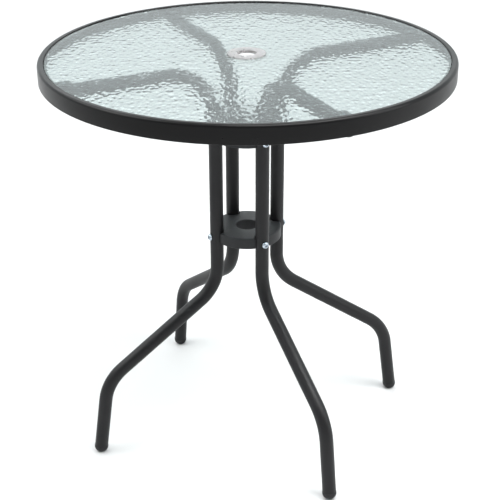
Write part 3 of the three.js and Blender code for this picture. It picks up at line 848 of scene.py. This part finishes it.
class TABLE_OT_stage(Builder, bpy.types.Operator):
    """Makes the camera, the pale floor and the soft studio light."""
    bl_idname = "umbrella_table.stage"
    bl_label = "Stage"

    def camera(self):
        """The camera stands in front and looks down, placed so that the table fills the picture's frame."""
        data = bpy.data.cameras.new("camera")
        data.sensor_width = SENSOR
        data.lens = LENS
        data.shift_x, data.shift_y = SHIFT
        camera = bpy.data.objects.new("camera", data)
        camera.location = CAMERA_PLACE
        pitch, yaw, roll = (math.radians(a) for a in CAMERA_TURNS)
        ahead = Vector((math.sin(yaw) * math.cos(pitch), math.cos(yaw) * math.cos(pitch), -math.sin(pitch)))
        right = Vector((math.cos(yaw), -math.sin(yaw), 0))
        up = right.cross(ahead)
        rolled_right = math.cos(roll) * right + math.sin(roll) * up
        rolled_up = math.cos(roll) * up - math.sin(roll) * right
        turn = Matrix((rolled_right, rolled_up, -ahead)).transposed()
        camera.rotation_euler = turn.to_euler()
        bpy.context.scene.collection.objects.link(camera)
        bpy.context.scene.camera = camera

    def far_glow(self, material, shader, near, far, strength):
        """Keeps the floor pale where the lights don't reach, as a lit studio's floor is."""
        tree = material.node_tree
        distance = tree.nodes.new("ShaderNodeVectorMath")
        distance.operation = "LENGTH"
        tree.links.new(coordinates(tree), distance.inputs[0])
        glow = ramp(tree, distance.outputs["Value"], near, far, low=0.0, high=strength)
        tree.links.new(glow, shader.inputs["Emission Strength"])
        shader.inputs["Emission Color"].default_value = (*WHITE, 1)

    def floor(self):
        """A wide level floor at the height that the feet stand on."""
        near, far = -FLOOR_HALF, FLOOR_HALF
        corners = np.array([[(near, near, 0), (near, far, 0)], [(far, near, 0), (far, far, 0)]])
        mesh = grid_mesh("floor", corners, False, False)
        base = self.settings.colours.floor
        material, shader = new_material("studio_floor", base, roughness=0.75)
        tint(material, shader, noise(material, pitch=300 * MM, detail=3.0), base, low=0.99, high=1.01)
        self.far_glow(material, shader, near=3.0, far=5.5, strength=0.55)
        mesh.materials.append(material)
        floor = bpy.data.objects.new("floor", mesh)
        bpy.context.scene.collection.objects.link(floor)

    def area(self, name, place, target, size, power, tone):
        """A soft box of light at a place, turned to its target."""
        data = bpy.data.lights.new(name, "AREA")
        data.shape = "RECTANGLE"
        data.size, data.size_y = size
        data.energy = power
        data.color = tone
        light = bpy.data.objects.new(name, data)
        light.location = place
        back = (Vector(place) - Vector(target)).normalized()
        side = Vector((-back.y, back.x, 0)).normalized() if back.z < LOOKS_DOWN else Vector((1, 0, 0))
        turn = Matrix((side, back.cross(side), back)).transposed()
        light.rotation_euler = turn.to_euler()
        bpy.context.scene.collection.objects.link(light)

    def sky(self):
        """Studio surroundings: bright behind the table, dimmer above it and darkest in front."""
        world = bpy.data.worlds.new("studio")
        world.use_nodes = True
        tree = world.node_tree
        background = tree.nodes["Background"]
        background.inputs["Color"].default_value = SKY_TINT
        behind = tree.nodes.new("ShaderNodeVectorMath")
        behind.operation = "DOT_PRODUCT"
        behind.inputs[1].default_value = SKY_AXIS
        tree.links.new(coordinates(tree, "Generated"), behind.inputs[0])
        strength = ramp(tree, behind.outputs["Value"], start=-0.9, end=0.6, low=0.2, high=1.2)
        tree.links.new(strength, background.inputs["Strength"])
        bpy.context.scene.world = world

    def execute(self, context):
        self.camera()
        self.floor()
        self.sky()
        for light in LIGHTS:
            self.area(*light)
        context.scene.view_settings.view_transform = "Standard"
        return {"FINISHED"}


class TABLE_OT_rim(Builder, bpy.types.Operator):
    """Makes the folded rim and the support ring inside it, and coats the tabs under it."""
    bl_idname = "umbrella_table.rim"
    bl_label = "Rim"

    def execute(self, context):
        coat = finishes(self.settings)["rim_powder"]
        strip = rim_profile(self.settings.rim)
        shown_turned("rim_strip", strip, RIM_SIDES, coat, "frame", "rim")
        ring = flat_ring_profile("support_ring", SUPPORT_EDGE)
        shown_turned("support", ring, RIM_SIDES, coat, "frame", "support_ring")
        for leg in LEGS:
            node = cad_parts[f"rim_tab_{leg}"]
            node.data.materials.clear()
            node.data.materials.append(coat)
        return {"FINISHED"}


class TABLE_OT_glass(Builder, bpy.types.Operator):
    """Makes the rippled glass, the strip that it lies on and the ring in its hole."""
    bl_idname = "umbrella_table.glass"
    bl_label = "Glass"

    def execute(self, context):
        glass = self.settings.glass
        made = finishes(self.settings)
        disc = grid_mesh("glass_disc", glass_points(glass))
        shown("glass_disc", disc, made["sea_glass"], "glass", "glass_top")
        strip = flat_ring_profile("glass_seat", STRIP_EDGE)
        shown_turned(
            "seat_strip", strip, RIM_SIDES, made["soft_strip"], "frame", "glass_seat")
        ring = ring_profile(glass)
        shown_turned(
            "pole_ring", ring, RING_SIDES, made["clear_ring"], "ring", "umbrella_ring")
        return {"FINISHED"}


class TABLE_OT_hubs(Builder, bpy.types.Operator):
    """Makes the upper and the lower hub."""
    bl_idname = "umbrella_table.hubs"
    bl_label = "Hubs"

    def execute(self, context):
        tube, hub = self.settings.tube, self.settings.hub
        plastic = finishes(self.settings)["hub_moulding"]
        for which in ("upper", "lower"):
            low, top = height_range(f"{which}_hub")
            drum = grid_mesh("drum", hub_points(tube, hub, top, low))
            roof = top - hub.roof / 2
            ribs = [
                grid_mesh("rib", rib_points(tube, hub, index, roof, low), wrap_v=False)
                for index in range(len(LEGS))]
            whole = joined(f"{which}_drum", [drum, *ribs])
            shown(f"{which}_drum", whole, plastic, "frame", f"{which}_hub")
        return {"FINISHED"}


class TABLE_OT_tubes(Builder, bpy.types.Operator):
    """Makes the four bent tubes with their foot caps and their arms' plugs."""
    bl_idname = "umbrella_table.tubes"
    bl_label = "Tubes"

    def cap(self, index, leg, plastic):
        """The cap, drawn upright with the tube's end at the origin, tilted to the foot and cut level."""
        tube = self.settings.tube
        points, tangents, _ = tube_path(tube, index)
        turn = Vector(-tangents[-1]).to_track_quat("Z", "X").to_matrix().to_4x4()
        grid = moved(turned(cap_profile(tube), CAP_SIDES), Matrix.Translation(points[-1]) @ turn)
        grid[..., 2] = np.maximum(grid[..., 2], 0)
        mesh = grid_mesh("cap", grid, wrap_v=False)
        shown(f"foot_dome_{leg}", mesh, plastic, "frame", f"foot_cap_{leg}")

    def plug(self, index, leg, plastic):
        """The plug, drawn upright with its cover's seat at the origin and laid along the arm."""
        tube = self.settings.tube
        way = heading_of(tube, index)
        inner, outer = span(f"arm_plug_{leg}", level(way))
        low, high = height_range(f"arm_plug_{leg}")
        seat = span(f"leg_tube_{leg}", level(way))[1] + SEAT_GAP
        grid = turned(plug_profile(tube, seat - inner, (high - low) / 2, outer - seat), ROUND_SIDES)
        mesh = grid_mesh("plug", moved(grid, lying(way, seat, (low + high) / 2)), wrap_v=False)
        shown(f"end_plug_{leg}", mesh, plastic, "frame", f"arm_plug_{leg}")

    def execute(self, context):
        made = finishes(self.settings)
        for index, leg in enumerate(LEGS):
            mesh = grid_mesh(f"tube_{leg}", tube_points(self.settings.tube, index))
            shown(f"tube_{leg}", mesh, made["tube_powder"], "frame", f"leg_tube_{leg}")
            self.cap(index, leg, made["cap_moulding"])
            self.plug(index, leg, made["cap_moulding"])
        return {"FINISHED"}


class TABLE_OT_fasteners(Builder, bpy.types.Operator):
    """Makes the screws of the hubs and the bolts of the arms."""
    bl_idname = "umbrella_table.fasteners"
    bl_label = "Screws"

    def screw(self, name, node, grid, place):
        """A screw or a bolt in place of its node."""
        zinc = finishes(self.settings)["zinc_skin"]
        mesh = grid_mesh("screw", moved(grid, place), wrap_v=False)
        shown(name, mesh, zinc, "frame", node)

    def execute(self, context):
        tube, hub = self.settings.tube, self.settings.hub
        for index, leg in enumerate(LEGS):
            way = heading_of(tube, index)
            for which, twist in (("upper", UPPER_TWIST), ("lower", 0)):
                node = f"{which}_hub_screw_{leg}"
                inner, outer = span(node, level(way))
                seat = outer - hub.screw_height
                place = lying(way, seat, sum(height_range(node)) / 2)
                turn = about_z(FIRST_TWIST + LEG_TWIST * index + twist)
                self.screw(f"{which}_screw_{leg}", node, screw_points(hub, seat - inner), place @ turn)
            node = f"arm_bolt_{leg}"
            low, high = height_range(node)
            seat = low + hub.screw_height
            place = about_z(way) @ Matrix.Translation((sum(span(node, level(way))) / 2, 0, seat))
            upside_down = Matrix.Rotation(math.pi, 4, "X")
            self.screw(f"bolt_{leg}", node, screw_points(hub, high - seat), place @ upside_down)
        return {"FINISHED"}


class Settings(bpy.types.PropertyGroup):
    """All sizes and colours of the table."""
    rim: PointerProperty(type=RimSizes)
    glass: PointerProperty(type=GlassSizes)
    tube: PointerProperty(type=TubeSizes)
    hub: PointerProperty(type=HubSizes)
    colours: PointerProperty(type=Colours)


class TABLE_PT_panel(bpy.types.Panel):
    """Lists the builders and the sizes and colours that they use."""
    bl_idname = "TABLE_PT_panel"
    bl_label = "Umbrella Table"
    bl_space_type = "VIEW_3D"
    bl_region_type = "UI"
    bl_category = "Umbrella Table"

    def draw(self, context):
        settings = context.scene.umbrella_table
        for operator in OPERATORS:
            self.layout.operator(operator.bl_idname)
        for group in (settings.rim, settings.glass, settings.tube, settings.hub, settings.colours):
            box = self.layout.box()
            for name in group.__annotations__:
                box.prop(group, name)


OPERATORS = (TABLE_OT_stage, TABLE_OT_rim, TABLE_OT_glass, TABLE_OT_hubs, TABLE_OT_tubes, TABLE_OT_fasteners)
CLASSES = (RimSizes, GlassSizes, TubeSizes, HubSizes, Colours, Settings, *OPERATORS, TABLE_PT_panel)


def register():
    for each in CLASSES:
        bpy.utils.register_class(each)
    bpy.types.Scene.umbrella_table = PointerProperty(type=Settings)


def unregister():
    del bpy.types.Scene.umbrella_table
    for each in reversed(CLASSES):
        bpy.utils.unregister_class(each)


def main():
    register()
    bpy.ops.umbrella_table.stage()
    bpy.ops.umbrella_table.rim()
    bpy.ops.umbrella_table.glass()
    bpy.ops.umbrella_table.hubs()
    bpy.ops.umbrella_table.tubes()
    bpy.ops.umbrella_table.fasteners()


if __name__ == "__main__":
    main()
